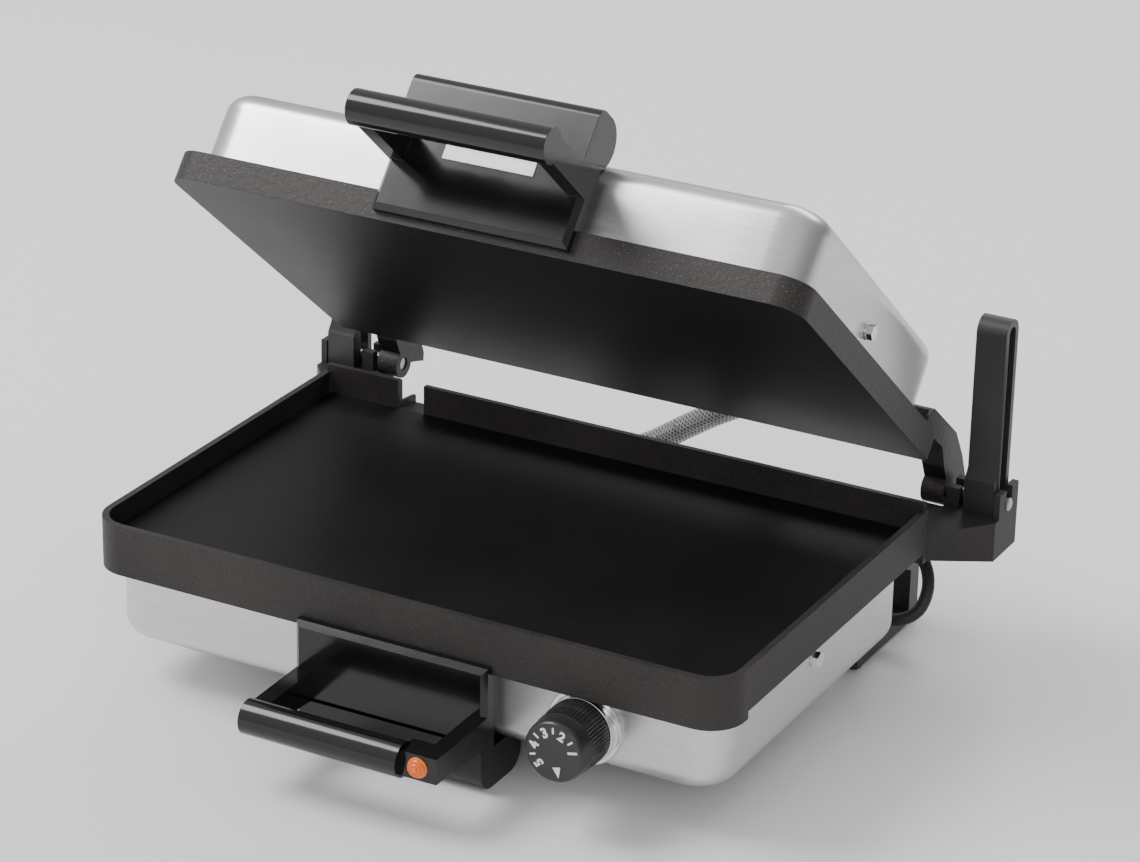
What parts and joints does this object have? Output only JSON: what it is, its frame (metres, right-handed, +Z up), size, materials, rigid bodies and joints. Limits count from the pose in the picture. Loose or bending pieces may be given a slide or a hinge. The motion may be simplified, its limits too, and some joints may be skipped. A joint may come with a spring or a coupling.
{
  "type": "panini press",
  "caption": "Contact grill with cast plates, drawn steel shells, bakelite handles, thermostat knob and a lid on a floating rear hinge, standing open.",
  "frame": {"origin": "centre of the outline, without the mains lead, on the table under the press", "axes": "+X to the right seen from the front, +Y to the rear hinge, +Z up; the handles face -Y"},
  "size_m": [0.4572, 0.452, 0.3619],
  "materials": {
    "cast_black": "seasoned black casting, fine sand texture",
    "steel_shell": "brushed along the width",
    "bright_steel": "polished",
    "zinc_steel": "zinc plated, satin",
    "bakelite": "glossy black bakelite",
    "black_paint": "satin black",
    "amber_lens": "clear amber",
    "heater_sheath": "heat tinted sheath",
    "fibre": "pressed mineral fibre",
    "ceramic": "glazed ceramic white",
    "copper": "drawn copper",
    "black_rubber": "smooth matt",
    "braid": "braided wire",
    "nickel": "nickel plated brass",
    "label_silver": "satin blank label"
  },
  "bodies": {
    "base": {"lower_plate": "cast_black", "base_housing": "steel_shell", "lower_element": "heater_sheath", "lower_element_clamps": "zinc_steel", "lower_clamp_screws": "zinc_steel", "lower_heat_shield": "zinc_steel", "lower_insulation": "fibre", "thermostat_body": "ceramic", "thermostat_sensor": "copper", "terminal_block": "ceramic", "base_handle": "bakelite", "base_handle_spacer": "bakelite", "base_handle_screws": "zinc_steel", "pilot_lamp_lens": "amber_lens", "pilot_lamp_body": "ceramic", "base_side_bolts": "bright_steel", "base_side_washers": "bright_steel", "rear_foot_left": "black_paint", "rear_foot_right": "black_paint", "rear_foot_screws": "zinc_steel", "foot_pads": "black_rubber", "cord_gland": "black_rubber", "cord_strain_relief": "black_rubber", "cord": "black_rubber", "cord_coil": "black_rubber", "cord_tie": "black_rubber", "cord_tail": "black_rubber", "plug_body": "black_rubber", "plug_pins": "nickel", "conduit_base_nut": "nickel", "conduit_lower": "braid", "guide_loop_left": "black_paint", "guide_loop_right": "black_paint", "guide_loop_screws": "zinc_steel", "knob_bezel": "bright_steel"},
    "knob": {"knob": "bakelite", "thermostat_shaft": "zinc_steel"},
    "hinge_pins": {"hinge_pin_left": "bright_steel", "hinge_pin_right": "bright_steel"},
    "lid": {"upper_plate": "cast_black", "lid_housing": "steel_shell", "upper_element": "heater_sheath", "upper_element_clamps": "zinc_steel", "upper_clamp_screws": "zinc_steel", "upper_heat_shield": "zinc_steel", "upper_insulation": "fibre", "lid_handle": "bakelite", "lid_handle_spacer": "bakelite", "lid_handle_screws": "zinc_steel", "badge_plate": "label_silver", "lid_side_bolts": "bright_steel", "lid_side_washers": "bright_steel", "conduit_lid_nut": "nickel", "conduit_upper": "braid"}
  },
  "joints": [
    {"name": "pin_float", "type": "slide", "parent": "base", "child": "hinge_pins", "axis": [0, 0, 1], "range_m": [0, 0.06], "deforming": ["conduit_lower"]},
    {"name": "lid_hinge", "type": "hinge", "parent": "hinge_pins", "child": "lid", "pos_m": [0, 0.17196, 0.091], "axis": [-1, 0, 0], "range_deg": [-38.7, 60], "deforming": ["conduit_upper"]},
    {"name": "knob_turn", "type": "hinge", "parent": "base", "child": "knob", "pos_m": [0.113, -0.13204, 0.05142], "axis": [0, 1, 0], "range_deg": [0, 300]}
  ]
}
